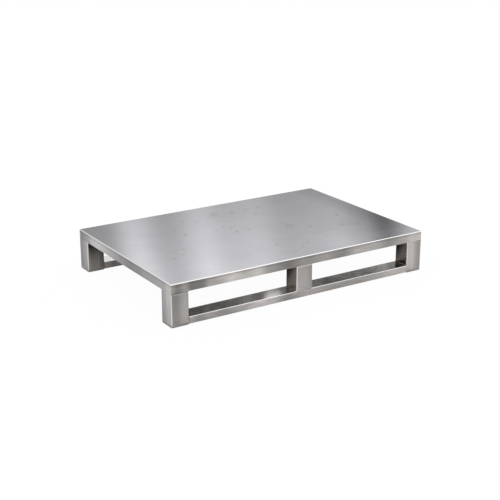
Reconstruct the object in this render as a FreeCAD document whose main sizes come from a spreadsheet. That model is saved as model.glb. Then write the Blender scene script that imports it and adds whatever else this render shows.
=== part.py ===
import FreeCAD, Part
import math
import os

import Sketcher

# Stainless steel pallet, welded from sheet and tube.
# X runs along the deck, Y across it and Z up. The origin is on the floor under the middle of the deck.
# A folded deck tray closes over a frame of channels and hat ribs, and both stand on two runners.
# Each runner is three square legs on a flat bottom rail, and the corner legs have thick foot plates.
# The legs carry the aprons' lower edges on their outer walls, so that their faces lie flush.
# Each size below can be set by itself, in millimetres.
SIZES = [
    ("deck_length", 1200, "deck over its aprons, along X"),
    ("deck_width", 800, "deck over its aprons, along Y"),
    ("overall_height", 172, "floor to the deck's top face"),
    ("sheet_gauge", 3, "thickness of the deck tray's sheet"),
    ("apron_depth", 38, "deck's top face to the aprons' lower edges"),
    ("fold_radius", 4.5, "outside radius of the folds round the deck"),
    ("corner_radius", 6, "outside radius of the ground welds at the tray's corners"),
    ("leg_size", 76, "outside width of the square leg tube"),
    ("leg_wall", 3, "wall of the leg tube"),
    ("leg_radius", 6, "outside corner radius of the leg tube"),
    ("foot_thickness", 10, "foot plate under each corner leg"),
    ("foot_edge", 2, "chamfer round the foot plate's lower edges"),
    ("rail_height", 30, "height of the bottom rail's tube"),
    ("rail_lift", 2, "floor to the bottom rail's underside"),
    ("rail_wall", 2, "wall of the bottom rail's tube"),
    ("rail_radius", 4, "outside corner radius of the bottom rail's tube"),
    ("rib_total", 5, "hat ribs between the end beams"),
    ("rib_crown", 40, "width of a hat rib over its webs"),
    ("rib_flange", 14, "width of each flange that lies on the deck"),
    ("rib_gauge", 2, "thickness of the hat ribs' sheet"),
    ("rib_bend", 4, "outside radius of the hat ribs' bends"),
    ("beam_gauge", 2, "thickness of the top and end beams' sheet"),
    ("beam_bend", 4, "outside radius of the beams' bends"),
    ("rib_cover", 3, "aprons' lower edges to the ribs that they hide"),
    ("bend_relief", 0.5, "room left round the tray's inside folds and corners"),
]

# Places that several pieces share, worked out from the sizes
INSIDE_FOLD = "(sizes.fold_radius - sizes.sheet_gauge)"
INSIDE_DEPTH = "(sizes.apron_depth - sizes.sheet_gauge)"
DECK_UNDERSIDE = "(sizes.overall_height - sizes.sheet_gauge)"
APRON_EDGE = "(sizes.overall_height - sizes.apron_depth)"
LEG_X = "((sizes.deck_length - sizes.leg_size) / 2)"
LEG_Y = "((sizes.deck_width - sizes.leg_size) / 2)"
BETWEEN_LEGS_X = "(sizes.deck_length - 2 * sizes.leg_size)"
BETWEEN_LEGS_Y = "(sizes.deck_width - 2 * sizes.leg_size)"
RAIL_TOP = "(sizes.rail_lift + sizes.rail_height)"
FOLD_SETBACK = f"(sizes.sheet_gauge + {INSIDE_FOLD} + sizes.bend_relief)"
CORNER_SETBACK = "(sizes.corner_radius + sizes.bend_relief)"
BEAM_WIDTH = f"(sizes.leg_size - {FOLD_SETBACK})"
TOP_BEAM_LENGTH = f"(sizes.deck_length - 2 * {CORNER_SETBACK})"
TOP_BEAM_Y = f"({BETWEEN_LEGS_Y} / 2 + {BEAM_WIDTH} / 2)"
END_BEAM_X = f"({BETWEEN_LEGS_X} / 2 + {BEAM_WIDTH} / 2)"
RIB_DEPTH = f"({INSIDE_DEPTH} - sizes.rib_cover)"

TOLERANCE = 1e-4

doc = FreeCAD.newDocument("pallet")
sizes = doc.addObject("Spreadsheet::Sheet", "sizes")
for row, (alias, size, meaning) in enumerate(SIZES, start=1):
    sizes.set(f"A{row}", meaning)
    sizes.set(f"B{row}", str(size))
    sizes.setAlias(f"B{row}", alias)
doc.recompute()


def measure(expression):
    """Give an expression's value in millimetres, to find the faces and edges it places."""
    return float(sizes.evalExpression(expression))


def new_body(label):
    body = doc.addObject("PartDesign::Body", label)
    body.Label = label
    return body


def place(body, x="0", y="0", z="0"):
    """Tie the body's place to expressions."""
    for axis, expression in (("x", x), ("y", y), ("z", z)):
        body.setExpression(f"Placement.Base.{axis}", expression)


def new_sketch(body, plane, name):
    """Start a sketch on one of the body's own origin planes."""
    sketch = body.newObject("Sketcher::SketchObject", name)
    origin_plane = next(item for item in body.Origin.OriginFeatures if item.Role == plane)
    sketch.AttachmentSupport = (origin_plane, [""])
    sketch.MapMode = "FlatFace"
    return sketch


def bind(sketch, constraint, name, expression):
    """Add a sketch dimension and tie it to an expression."""
    index = sketch.addConstraint(constraint)
    sketch.renameConstraint(index, name)
    sketch.setExpression(f"Constraints.{name}", expression)


def draw_outline(sketch, corners):
    """Draw a closed outline of straight lines, each corner held at its own pair of expressions."""
    points = [FreeCAD.Vector(measure(across), measure(up), 0) for across, up in corners]
    lines = [
        sketch.addGeometry(Part.LineSegment(start, end), False)
        for start, end in zip(points, points[1:] + points[:1])
    ]
    for line, following in zip(lines, lines[1:] + lines[:1]):
        sketch.addConstraint(Sketcher.Constraint("Coincident", line, 2, following, 1))
    for line, point, (across, up) in zip(lines, points, corners):
        across_name, up_name = f"across{line}", f"up{line}"
        bind(sketch, Sketcher.Constraint("DistanceX", -1, 1, line, 1, point.x), across_name, across)
        bind(sketch, Sketcher.Constraint("DistanceY", -1, 1, line, 1, point.y), up_name, up)


def draw_rounded_rectangle(sketch, width, height, radius, name):
    """Draw a rectangle with round corners, centred on the sketch's origin."""
    edge_x, edge_y = measure(width) / 2, measure(height) / 2
    round_size = measure(radius)
    flat_x, flat_y = edge_x - round_size, edge_y - round_size
    starts = [(edge_x, -flat_y), (flat_x, edge_y), (-edge_x, flat_y), (-flat_x, -edge_y)]
    ends = [(edge_x, flat_y), (-flat_x, edge_y), (-edge_x, -flat_y), (flat_x, -edge_y)]
    centres = [(flat_x, flat_y), (-flat_x, flat_y), (-flat_x, -flat_y), (flat_x, -flat_y)]
    lines, arcs = [], []
    for quarter, (start, end, centre) in enumerate(zip(starts, ends, centres)):
        side = Part.LineSegment(FreeCAD.Vector(*start, 0), FreeCAD.Vector(*end, 0))
        lines.append(sketch.addGeometry(side, False))
        circle = Part.Circle(FreeCAD.Vector(*centre, 0), FreeCAD.Vector(0, 0, 1), round_size)
        corner = Part.ArcOfCircle(circle, quarter * math.pi / 2, (quarter + 1) * math.pi / 2)
        arcs.append(sketch.addGeometry(corner, False))
    for line, arc, following in zip(lines, arcs, lines[1:] + lines[:1]):
        sketch.addConstraint(Sketcher.Constraint("Tangent", line, 2, arc, 1))
        sketch.addConstraint(Sketcher.Constraint("Tangent", arc, 2, following, 1))
    right, top, left, bottom = lines
    for upright in (right, left):
        sketch.addConstraint(Sketcher.Constraint("Vertical", upright))
    for level in (top, bottom):
        sketch.addConstraint(Sketcher.Constraint("Horizontal", level))
    for arc in arcs[1:]:
        sketch.addConstraint(Sketcher.Constraint("Equal", arcs[0], arc))
    sketch.addConstraint(Sketcher.Constraint("Symmetric", right, 1, left, 1, -1, 1))
    across = Sketcher.Constraint("DistanceX", left, 1, right, 2, 2 * edge_x)
    upwards = Sketcher.Constraint("DistanceY", bottom, 1, top, 2, 2 * edge_y)
    bind(sketch, across, f"{name}_width", width)
    bind(sketch, upwards, f"{name}_height", height)
    bind(sketch, Sketcher.Constraint("Radius", arcs[0], round_size), f"{name}_radius", radius)


def pad(body, sketch, length, midplane=False):
    feature = body.newObject("PartDesign::Pad", f"{sketch.Name}_pad")
    feature.Profile = sketch
    feature.setExpression("Length", length)
    feature.Midplane = midplane
    doc.recompute()
    return feature


def pocket(body, sketch, length, midplane=False, reverse=False):
    """Cut a sketch out of the body, and make sure that it took material away."""
    before = body.Tip.Shape.Volume
    feature = body.newObject("PartDesign::Pocket", f"{sketch.Name}_pocket")
    feature.Profile = sketch
    feature.setExpression("Length", length)
    feature.Midplane = midplane
    feature.Reversed = reverse
    doc.recompute()
    if feature.Shape.Volume > before - TOLERANCE:
        raise RuntimeError(f"{feature.Name} cuts nothing")
    return feature


def near(first, second):
    return abs(first - second) < TOLERANCE


def level_edges(feature, height):
    """Name the edges that lie at one height."""
    return [
        f"Edge{number}"
        for number, edge in enumerate(feature.Shape.Edges, start=1)
        if near(edge.BoundBox.ZMin, height) and near(edge.BoundBox.ZMax, height)
    ]


def run_edges(feature, along, places):
    """Name the straight edges that run along X or Y through the given places across that run."""
    across = "Y" if along == "X" else "X"
    names = []
    for number, edge in enumerate(feature.Shape.Edges, start=1):
        box = edge.BoundBox
        if getattr(box, f"{along}Length") < TOLERANCE:
            continue
        if getattr(box, f"{across}Length") > TOLERANCE or box.ZLength > TOLERANCE:
            continue
        side, height = getattr(box, f"{across}Min"), box.ZMin
        if any(near(side, place_side) and near(height, place_up) for place_side, place_up in places):
            names.append(f"Edge{number}")
    return names


def round_edges(body, name, base, edges, radius):
    feature = body.newObject("PartDesign::Fillet", name)
    feature.Base = (base, edges)
    feature.setExpression("Radius", radius)
    doc.recompute()
    return feature


def make_deck_tray():
    """The deck and its four aprons are one folded sheet, with the corners welded and ground round."""
    body = new_body("deck_tray")
    plan = new_sketch(body, "XY_Plane", "deck_plan")
    draw_rounded_rectangle(plan, "sizes.deck_length", "sizes.deck_width", "sizes.corner_radius", "deck")
    block = pad(body, plan, "sizes.apron_depth")
    top = level_edges(block, measure("sizes.apron_depth"))
    round_edges(body, "outside_folds", block, top, "sizes.fold_radius")
    hollow = new_sketch(body, "XY_Plane", "deck_hollow")
    draw_rounded_rectangle(
        hollow,
        "sizes.deck_length - 2 * sizes.sheet_gauge",
        "sizes.deck_width - 2 * sizes.sheet_gauge",
        "sizes.corner_radius - sizes.sheet_gauge",
        "hollow",
    )
    shell = pocket(body, hollow, INSIDE_DEPTH, reverse=True)
    underside = level_edges(shell, measure(INSIDE_DEPTH))
    round_edges(body, "inside_folds", shell, underside, INSIDE_FOLD)
    place(body, z=APRON_EDGE)
    return body


def make_leg(label, x, y, bottom):
    """A leg is a square tube that ends level with the aprons' lower edges and carries them."""
    body = new_body(label)
    section = new_sketch(body, "XY_Plane", f"{label}_section")
    draw_rounded_rectangle(section, "sizes.leg_size", "sizes.leg_size", "sizes.leg_radius", "outside")
    bore = "sizes.leg_size - 2 * sizes.leg_wall"
    draw_rounded_rectangle(section, bore, bore, "sizes.leg_radius - sizes.leg_wall", "bore")
    pad(body, section, f"{APRON_EDGE} - {bottom}")
    place(body, x, y, bottom)
    return body


def make_foot(label, x, y):
    """A foot plate closes the lower end of a corner leg, its edges broken where it meets the floor."""
    body = new_body(label)
    plan = new_sketch(body, "XY_Plane", f"{label}_plan")
    draw_rounded_rectangle(plan, "sizes.leg_size", "sizes.leg_size", "sizes.leg_radius", "foot")
    plate = pad(body, plan, "sizes.foot_thickness")
    chamfer = body.newObject("PartDesign::Chamfer", f"{label}_chamfer")
    chamfer.Base = (plate, level_edges(plate, 0))
    chamfer.setExpression("Size", "sizes.foot_edge")
    place(body, x, y)
    return body


def make_bottom_rail(label, y):
    """A flat tube joins the two corner legs of a runner just above the floor."""
    body = new_body(label)
    section = new_sketch(body, "YZ_Plane", f"{label}_section")
    draw_rounded_rectangle(section, "sizes.leg_size", "sizes.rail_height", "sizes.rail_radius", "outside")
    draw_rounded_rectangle(
        section,
        "sizes.leg_size - 2 * sizes.rail_wall",
        "sizes.rail_height - 2 * sizes.rail_wall",
        "sizes.rail_radius - sizes.rail_wall",
        "bore",
    )
    pad(body, section, BETWEEN_LEGS_X, midplane=True)
    place(body, y=y, z="sizes.rail_lift + sizes.rail_height / 2")
    return body


def make_beam(label, along, length, x="0", y="0"):
    """A channel stiffens the deck's edge, its open side up against the deck and clear of the folds."""
    body = new_body(label)
    plane = "YZ_Plane" if along == "X" else "XZ_Plane"
    half = f"{BEAM_WIDTH} / 2"
    outline = new_sketch(body, plane, f"{label}_outline")
    corners = [(f"-{half}", "0"), (half, "0"), (half, INSIDE_DEPTH), (f"-{half}", INSIDE_DEPTH)]
    draw_outline(outline, corners)
    pad(body, outline, length, midplane=True)
    inside = f"({half} - sizes.beam_gauge)"
    trough = new_sketch(body, plane, f"{label}_trough")
    corners = [
        (f"-{inside}", "sizes.beam_gauge"), (inside, "sizes.beam_gauge"),
        (inside, INSIDE_DEPTH), (f"-{inside}", INSIDE_DEPTH),
    ]
    draw_outline(trough, corners)
    channel = pocket(body, trough, f"2 * {length}", midplane=True)
    outer = measure(half)
    bends = run_edges(channel, along, [(-outer, 0), (outer, 0)])
    channel = round_edges(body, f"{label}_outside_bends", channel, bends, "sizes.beam_bend")
    inner, floor = measure(inside), measure("sizes.beam_gauge")
    bends = run_edges(channel, along, [(-inner, floor), (inner, floor)])
    round_edges(body, f"{label}_inside_bends", channel, bends, "sizes.beam_bend - sizes.beam_gauge")
    place(body, x, y, APRON_EDGE)
    return body


def make_rib(label, x):
    """A hat rib runs from one top beam to the other, its two flanges flat against the deck."""
    body = new_body(label)
    half = "sizes.rib_crown / 2"
    reach = f"({half} + sizes.rib_flange)"
    under_flange = f"({RIB_DEPTH} - sizes.rib_gauge)"
    outline = new_sketch(body, "XZ_Plane", f"{label}_outline")
    corners = [
        (f"-{half}", "0"), (half, "0"), (half, under_flange), (reach, under_flange),
        (reach, RIB_DEPTH), (f"-{reach}", RIB_DEPTH),
        (f"-{reach}", under_flange), (f"-{half}", under_flange),
    ]
    draw_outline(outline, corners)
    pad(body, outline, BETWEEN_LEGS_Y, midplane=True)
    inside = f"({half} - sizes.rib_gauge)"
    trough = new_sketch(body, "XZ_Plane", f"{label}_trough")
    corners = [
        (f"-{inside}", "sizes.rib_gauge"), (inside, "sizes.rib_gauge"),
        (inside, RIB_DEPTH), (f"-{inside}", RIB_DEPTH),
    ]
    draw_outline(trough, corners)
    hat = pocket(body, trough, f"2 * {BETWEEN_LEGS_Y}", midplane=True)
    web, bore = measure(half), measure(inside)
    floor, top, shelf = measure("sizes.rib_gauge"), measure(RIB_DEPTH), measure(under_flange)
    bends = run_edges(hat, "Y", [(-web, 0), (web, 0), (-bore, top), (bore, top)])
    hat = round_edges(body, f"{label}_outside_bends", hat, bends, "sizes.rib_bend")
    bends = run_edges(hat, "Y", [(-bore, floor), (bore, floor), (-web, shelf), (web, shelf)])
    round_edges(body, f"{label}_inside_bends", hat, bends, "sizes.rib_bend - sizes.rib_gauge")
    place(body, x, z=f"{DECK_UNDERSIDE} - {RIB_DEPTH}")
    return body


def make_runner(side, y):
    """One runner: its rail, its three legs and the foot plates under the corner legs."""
    pieces = [make_bottom_rail(f"bottom_rail_{side}", y)]
    for end, x in (("left", f"-{LEG_X}"), ("right", LEG_X)):
        pieces.append(make_leg(f"leg_{side}_{end}", x, y, "sizes.foot_thickness"))
        pieces.append(make_foot(f"foot_plate_{side}_{end}", x, y))
    pieces.append(make_leg(f"leg_{side}_middle", "0", y, RAIL_TOP))
    return pieces


def make_deck_frame():
    """Top beams rest on the legs of each runner, and end beams and ribs join them under the deck."""
    pieces = [
        make_beam("top_beam_front", "X", TOP_BEAM_LENGTH, y=f"-{TOP_BEAM_Y}"),
        make_beam("top_beam_rear", "X", TOP_BEAM_LENGTH, y=TOP_BEAM_Y),
        make_beam("end_beam_left", "Y", BETWEEN_LEGS_Y, x=f"-{END_BEAM_X}"),
        make_beam("end_beam_right", "Y", BETWEEN_LEGS_Y, x=END_BEAM_X),
    ]
    for number in range(1, int(sizes.rib_total) + 1):
        share = f"({number} / (sizes.rib_total + 1) - 1 / 2)"
        pieces.append(make_rib(f"cross_rib_{number}", f"{BETWEEN_LEGS_X} * {share}"))
    return pieces


pieces = [make_deck_tray()]
pieces += make_runner("front", f"-{LEG_Y}")
pieces += make_runner("rear", LEG_Y)
pieces += make_deck_frame()

doc.recompute()

for item in doc.Objects:
    if "Invalid" in item.State or "Error" in item.State:
        raise RuntimeError(f"{item.Label} did not build: {item.State}")
for piece in pieces:
    if piece.Shape.isNull() or not piece.Shape.isValid():
        raise RuntimeError(f"{piece.Label} has no valid shape")
    if len(piece.Shape.Solids) != 1:
        raise RuntimeError(f"{piece.Label} is not one solid")

os.makedirs("parts", exist_ok=True)
for piece in pieces:
    piece.Shape.exportStep(f"parts/{piece.Label}.step")

whole = Part.makeCompound([piece.Shape for piece in pieces])
box = whole.optimalBoundingBox(False, False)
print("pieces", len(pieces))
print("length, width and height", round(box.XLength, 3), round(box.YLength, 3), round(box.ZLength, 3))
print("solid volume in litres", round(whole.Volume / 1e6, 3))
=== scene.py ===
# %% [markdown]
# # A welded stainless steel pallet
#
# The real object is a low pallet for clean rooms and food works. One brushed stainless sheet is
# folded down on all four sides to make the deck, and it is welded onto six square tube legs.
# A flat rail joins the legs of each long side near the floor, and four thick plates are the feet.
# The solids come from the CAD frame, which is already the right size, so this scene adds what CAD
# leaves out: the brushed finish, the weld beads, the marks of use, the light and the camera.

# %% Load the frame
from math import radians
from types import SimpleNamespace

import bpy
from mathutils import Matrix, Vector


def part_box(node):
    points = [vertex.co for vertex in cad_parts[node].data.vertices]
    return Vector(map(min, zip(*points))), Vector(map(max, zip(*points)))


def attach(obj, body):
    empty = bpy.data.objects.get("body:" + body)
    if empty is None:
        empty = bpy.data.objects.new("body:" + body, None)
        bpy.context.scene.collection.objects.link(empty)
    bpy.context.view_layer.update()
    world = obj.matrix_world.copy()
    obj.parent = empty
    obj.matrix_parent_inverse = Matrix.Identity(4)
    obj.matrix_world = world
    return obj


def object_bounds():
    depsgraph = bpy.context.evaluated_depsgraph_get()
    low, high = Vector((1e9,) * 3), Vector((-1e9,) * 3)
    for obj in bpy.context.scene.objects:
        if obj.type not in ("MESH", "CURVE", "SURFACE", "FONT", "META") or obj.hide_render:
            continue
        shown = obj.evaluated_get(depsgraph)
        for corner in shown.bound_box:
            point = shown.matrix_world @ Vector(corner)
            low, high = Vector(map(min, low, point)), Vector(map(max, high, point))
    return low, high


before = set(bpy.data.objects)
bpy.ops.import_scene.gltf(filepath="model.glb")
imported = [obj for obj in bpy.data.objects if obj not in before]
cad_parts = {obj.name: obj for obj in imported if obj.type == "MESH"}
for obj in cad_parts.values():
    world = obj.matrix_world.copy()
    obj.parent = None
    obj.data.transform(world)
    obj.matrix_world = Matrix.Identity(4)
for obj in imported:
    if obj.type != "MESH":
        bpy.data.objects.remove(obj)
CAD_BOX = [list(corner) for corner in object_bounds()]
print("pieces from the frame:", len(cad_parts), "box in metres:", CAD_BOX)

# %% [markdown]
# ## The camera
#
# The photograph looks down at the near left corner. A camera was fitted to the pallet's straight
# edges: it stands about 4.7 m away, a little over 1.5 m up, with a long lens that keeps the
# perspective mild. The lens is worked out from the picture's width in pixels, so that the numbers
# stay readable.

# %% Camera
PICTURE_WIDTH_PX = 500
FOCAL_LENGTH_PX = 1109.8
SENSOR_WIDTH_MM = 36.0
CAMERA_PLACE = (-2.3982, -3.7439, 1.5925)
CAMERA_TURN_DEG = 32.64
CAMERA_PITCH_DEG = 18.75

bpy.ops.object.select_all(action="DESELECT")
bpy.ops.object.camera_add(location=CAMERA_PLACE)
camera = bpy.context.object
camera.name = "photo_camera"
camera.rotation_euler = (radians(90 - CAMERA_PITCH_DEG), 0, radians(-CAMERA_TURN_DEG))
camera.data.sensor_width = SENSOR_WIDTH_MM
camera.data.lens = SENSOR_WIDTH_MM * FOCAL_LENGTH_PX / PICTURE_WIDTH_PX
bpy.context.scene.camera = camera
bpy.context.scene.view_settings.view_transform = "Standard"
print("lens in mm:", round(camera.data.lens, 2))

# %% [markdown]
# ## Three helpers for materials
#
# Colours are written as sRGB hex values, the way a paint chart gives them, while a shader wants
# linear light, so one function turns the one into the other. A second function adds a node: its
# settings go in by name, and each input takes a plain value, or the node or output that feeds it.
# A third gives a colour ramp its stops.

# %% Colour and node helpers
OPAQUE = 1.0


def linear(hex_colour):
    """The linear RGBA of an sRGB hex colour."""
    channels = [int(hex_colour[at:at + 2], 16) / 255 for at in (0, 2, 4)]
    return [c / 12.92 if c <= 0.04045 else ((c + 0.055) / 1.055) ** 2.4 for c in channels] + [OPAQUE]


def add(tree, kind, inputs=None, **settings):
    """Adds one node with its settings, and gives each input its value, or the node that feeds it."""
    node = tree.nodes.new(kind)
    for name, value in settings.items():
        setattr(node, name, value)
    for socket, value in (inputs or {}).items():
        if isinstance(value, bpy.types.Node):
            value = next(output for output in value.outputs if output.enabled)
        if isinstance(value, bpy.types.NodeSocket):
            tree.links.new(value, node.inputs[socket])
        else:
            node.inputs[socket].default_value = value
    return node


def set_stops(ramp, points):
    """Gives a colour ramp its stops, each a place from 0 to 1 and a grey level from 0 to 1."""
    elements = ramp.color_ramp.elements
    ramp.color_ramp.interpolation = "EASE"
    elements.remove(elements[-1])
    for number, (place, level) in enumerate(points):
        element = elements.new(place) if number else elements[0]
        element.position = place
        element.color = (level, level, level, OPAQUE)


print("mid grey in linear light:", round(linear("808080")[0], 3))

# %% [markdown]
# ## The studio
#
# The pallet stands on a white sweep. What the camera sees of it is nearly all plain white, and so
# is a small share of what the metal mirrors. The rest is a diffuse floor, which keeps the shadow
# under the deck: it is that shadow which makes the inner faces of the legs dark. The sweep lies a
# hair under the feet, so that the two never share a plane.

# %% Floor
FLOOR_SIZE = 160.0
FLOOR_DROP = 0.0002
FLOOR_GREY = "E2E2E2"
WHITE_TO_CAMERA = 0.97
WHITE_TO_METAL = 0.10

bpy.ops.object.select_all(action="DESELECT")
bpy.ops.mesh.primitive_plane_add(size=FLOOR_SIZE, location=(0, 0, -FLOOR_DROP))
floor = bpy.context.object
floor.name = "studio_floor"

paper = bpy.data.materials.new("white_paper_sweep")
paper.use_nodes = True
tree = paper.node_tree
tree.nodes.clear()
rays = add(tree, "ShaderNodeLightPath")
mirrored = add(tree, "ShaderNodeMath", {
    0: rays.outputs["Is Glossy Ray"], 1: rays.outputs["Is Transmission Ray"]}, operation="ADD")
to_metal = add(tree, "ShaderNodeMath", {0: mirrored, 1: WHITE_TO_METAL}, operation="MULTIPLY")
white_share = add(tree, "ShaderNodeMath", {
    0: rays.outputs["Is Camera Ray"], 1: WHITE_TO_CAMERA, 2: to_metal}, operation="MULTIPLY_ADD",
    use_clamp=True)
matt = add(tree, "ShaderNodeBsdfDiffuse", {"Color": linear(FLOOR_GREY)})
white = add(tree, "ShaderNodeEmission", {"Color": linear("FFFFFF"), "Strength": 1.0})
mixed = add(tree, "ShaderNodeMixShader", {0: white_share, 1: matt, 2: white})
add(tree, "ShaderNodeOutputMaterial", {"Surface": mixed})
floor.data.materials.append(paper)
print("floor in metres:", FLOOR_SIZE)

# %% [markdown]
# ## The light
#
# Brushed metal shows what stands round it, so the soft boxes are drawn into the world. Long strip
# lights hang in planes across the deck's length, and they are told apart by the sideways part of a
# direction alone. A sheet that is brushed lengthwise mirrors that part sharply and smears the rest,
# which is why its reflections are soft upright bands. The strips fade to even light near the
# horizon and high up, where a broad overhead box makes the thin bright lines on folds. The first
# list below gives the strips' brightness over that sideways part, and the second how bright the
# world is from the horizon up. The camera itself sees a white sky that runs on from the sweep.

# %% World
STRIPS = (
    (0.000, 0.72), (0.100, 0.66), (0.220, 0.74), (0.300, 0.56), (0.380, 0.38), (0.400, 0.40),
    (0.422, 0.91), (0.449, 0.50), (0.478, 0.85), (0.495, 0.66), (0.518, 0.70), (0.541, 0.50),
    (0.580, 0.56), (0.596, 0.38), (0.612, 0.07), (0.634, 0.74), (0.700, 0.76), (1.000, 0.70),
)
STRIP_GAIN = 1.36
HEIGHTS = ((0.00, 0.42), (0.20, 0.38), (0.45, 0.62), (0.62, 0.80), (0.85, 0.80), (0.96, 0.55))
HEIGHT_GAIN = 2.0
STRIPS_START, STRIPS_FULL = 0.02, 0.20
STRIPS_FADE, STRIPS_END = 0.46, 0.62
SKY_TO_CAMERA = 1.05
AIR_TINT = "FDFEFF"

world = bpy.data.worlds.new("soft_studio")
bpy.context.scene.world = world
world.use_nodes = True
tree = world.node_tree
tree.nodes.clear()
sky = add(tree, "ShaderNodeTexCoord")
parts = add(tree, "ShaderNodeSeparateXYZ", {0: sky.outputs["Generated"]})
sideways = add(tree, "ShaderNodeMath", {0: parts.outputs["X"]}, operation="ABSOLUTE")
strips = add(tree, "ShaderNodeValToRGB", {"Fac": sideways})
set_stops(strips, STRIPS)
strip_level = add(tree, "ShaderNodeMath", {0: strips, 1: STRIP_GAIN}, operation="MULTIPLY")
fade_in = add(tree, "ShaderNodeMapRange", {
    "Value": parts.outputs["Z"], "From Min": STRIPS_START, "From Max": STRIPS_FULL})
fade_out = add(tree, "ShaderNodeMapRange", {
    "Value": parts.outputs["Z"], "From Min": STRIPS_END, "From Max": STRIPS_FADE})
fade = add(tree, "ShaderNodeMath", {0: fade_in, 1: fade_out}, operation="MULTIPLY")
strip_level = add(tree, "ShaderNodeMix", {0: fade, 2: 1.0, 3: strip_level})
heights = add(tree, "ShaderNodeValToRGB", {"Fac": parts.outputs["Z"]})
set_stops(heights, HEIGHTS)
height_level = add(tree, "ShaderNodeMath", {0: heights, 1: HEIGHT_GAIN}, operation="MULTIPLY")
level = add(tree, "ShaderNodeMath", {0: strip_level, 1: height_level}, operation="MULTIPLY")
to_camera = add(tree, "ShaderNodeLightPath").outputs["Is Camera Ray"]
level = add(tree, "ShaderNodeMix", {0: to_camera, 2: level, 3: SKY_TO_CAMERA})
air = add(tree, "ShaderNodeBackground", {"Color": linear(AIR_TINT), "Strength": level})
add(tree, "ShaderNodeOutputWorld", {"Surface": air})
print("strip stops:", len(STRIPS), "height stops:", len(HEIGHTS))

# %% [markdown]
# ## What a finish asks of the steel
#
# Every finish asks the same things of the point that is shaded: where it is on the pallet, and
# which way the metal faces there. The pallet lies along the scene's axes and nothing on it turns,
# so both are told in its own directions. How far a face looks up keeps its sign, because a deck has
# an underside too. The limits below say from which lean on a face counts as one that looks along an
# axis, straight up, or past the middle of a corner.

# %% Place and facing
HALF_LENGTH, HALF_WIDTH = CAD_BOX[1][0], CAD_BOX[1][1]
LOOKS_ALONG = 0.7
LOOKS_UP = 0.9
PAST_THE_CORNER = 0.71


def survey(tree):
    """The place of a point and the way it faces, as outputs that other nodes read."""
    place = add(tree, "ShaderNodeTexCoord").outputs["Object"]
    normal = add(tree, "ShaderNodeNewGeometry").outputs["Normal"]
    size = add(tree, "ShaderNodeVectorMath", {0: normal}, operation="ABSOLUTE")
    return SimpleNamespace(
        place=place,
        normal=normal,
        spot=add(tree, "ShaderNodeSeparateXYZ", {0: place}).outputs,
        facing=add(tree, "ShaderNodeSeparateXYZ", {0: size}).outputs,
        upward=add(tree, "ShaderNodeSeparateXYZ", {0: normal}).outputs["Z"],
    )


print("half the length and half the width in metres:", HALF_LENGTH, HALF_WIDTH)

# %% [markdown]
# ## The grain of brushed steel
#
# The sheet and the tubes are stainless with a No. 4 finish: an abrasive belt leaves fine
# parallel scratches. Real ones are about 0.05 mm wide, far too fine for this picture, so a noise
# that is stretched along the grain draws them a few millimetres wide. On the folded sheet the
# grain runs along the deck, stays lengthwise on the long aprons, and turns down over the short
# folds with the metal, so it stands upright on the short aprons. On the foot plates it goes round
# the edge, in shorter strokes. Highlights are drawn out at right angles to the grain, and the
# tangent says which way that is.

# %% Grain
GRAIN_WIDTH_MM = 2.6
GRAIN_LENGTH_MM = 700.0
ALONG = 1000 / GRAIN_LENGTH_MM
ACROSS = 1000 / GRAIN_WIDTH_MM
ALONG_THE_EDGE = 30.0
LENGTHWISE, CROSSWISE, UPRIGHT = (1, 0, 0), (0, 1, 0), (0, 0, 1)
ROUND_THE_EDGE, OVER_THE_FOLDS = "round the edge", "over the folds"


def stretched(grain):
    """The noise scale that draws long thin streaks along one direction."""
    return [ALONG if part else ACROSS for part in grain]


def grain_nodes(tree, at, grain):
    """The streak noise and the tangent across the grain."""
    if grain == OVER_THE_FOLDS:
        end_face = add(tree, "ShaderNodeMath", {
            0: at.facing["X"], 1: at.facing["Y"]}, operation="GREATER_THAN")
        upright = add(tree, "ShaderNodeMath", {
            0: at.facing["X"], 1: PAST_THE_CORNER}, operation="GREATER_THAN")
        scale = add(tree, "ShaderNodeMix", {
            0: upright, 4: stretched(LENGTHWISE), 5: stretched(UPRIGHT)}, data_type="VECTOR")
        round_side = add(tree, "ShaderNodeVectorMath", {
            0: LENGTHWISE, 1: at.normal}, operation="CROSS_PRODUCT")
        tangent = add(tree, "ShaderNodeMix", {
            0: end_face, 4: round_side, 5: CROSSWISE}, data_type="VECTOR")
        drawn = add(tree, "ShaderNodeVectorMath", {0: at.place, 1: scale}, operation="MULTIPLY")
    elif grain == ROUND_THE_EDGE:
        along = add(tree, "ShaderNodeVectorMath", {0: UPRIGHT, 1: at.normal}, operation="CROSS_PRODUCT")
        tangent = add(tree, "ShaderNodeVectorMath", {0: along, 1: at.normal}, operation="CROSS_PRODUCT")
        scale = (ALONG_THE_EDGE, ALONG_THE_EDGE, ACROSS)
        drawn = add(tree, "ShaderNodeVectorMath", {0: at.place, 1: scale}, operation="MULTIPLY")
    else:
        tangent = add(tree, "ShaderNodeVectorMath", {0: grain, 1: at.normal}, operation="CROSS_PRODUCT")
        drawn = add(tree, "ShaderNodeVectorMath", {
            0: at.place, 1: stretched(grain)}, operation="MULTIPLY")
    streaks = add(tree, "ShaderNodeTexNoise", {
        "Vector": drawn, "Scale": 1.0, "Detail": 2.0, "Roughness": 0.6})
    return streaks, tangent


print("streaks per metre across the grain:", round(ACROSS))
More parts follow.
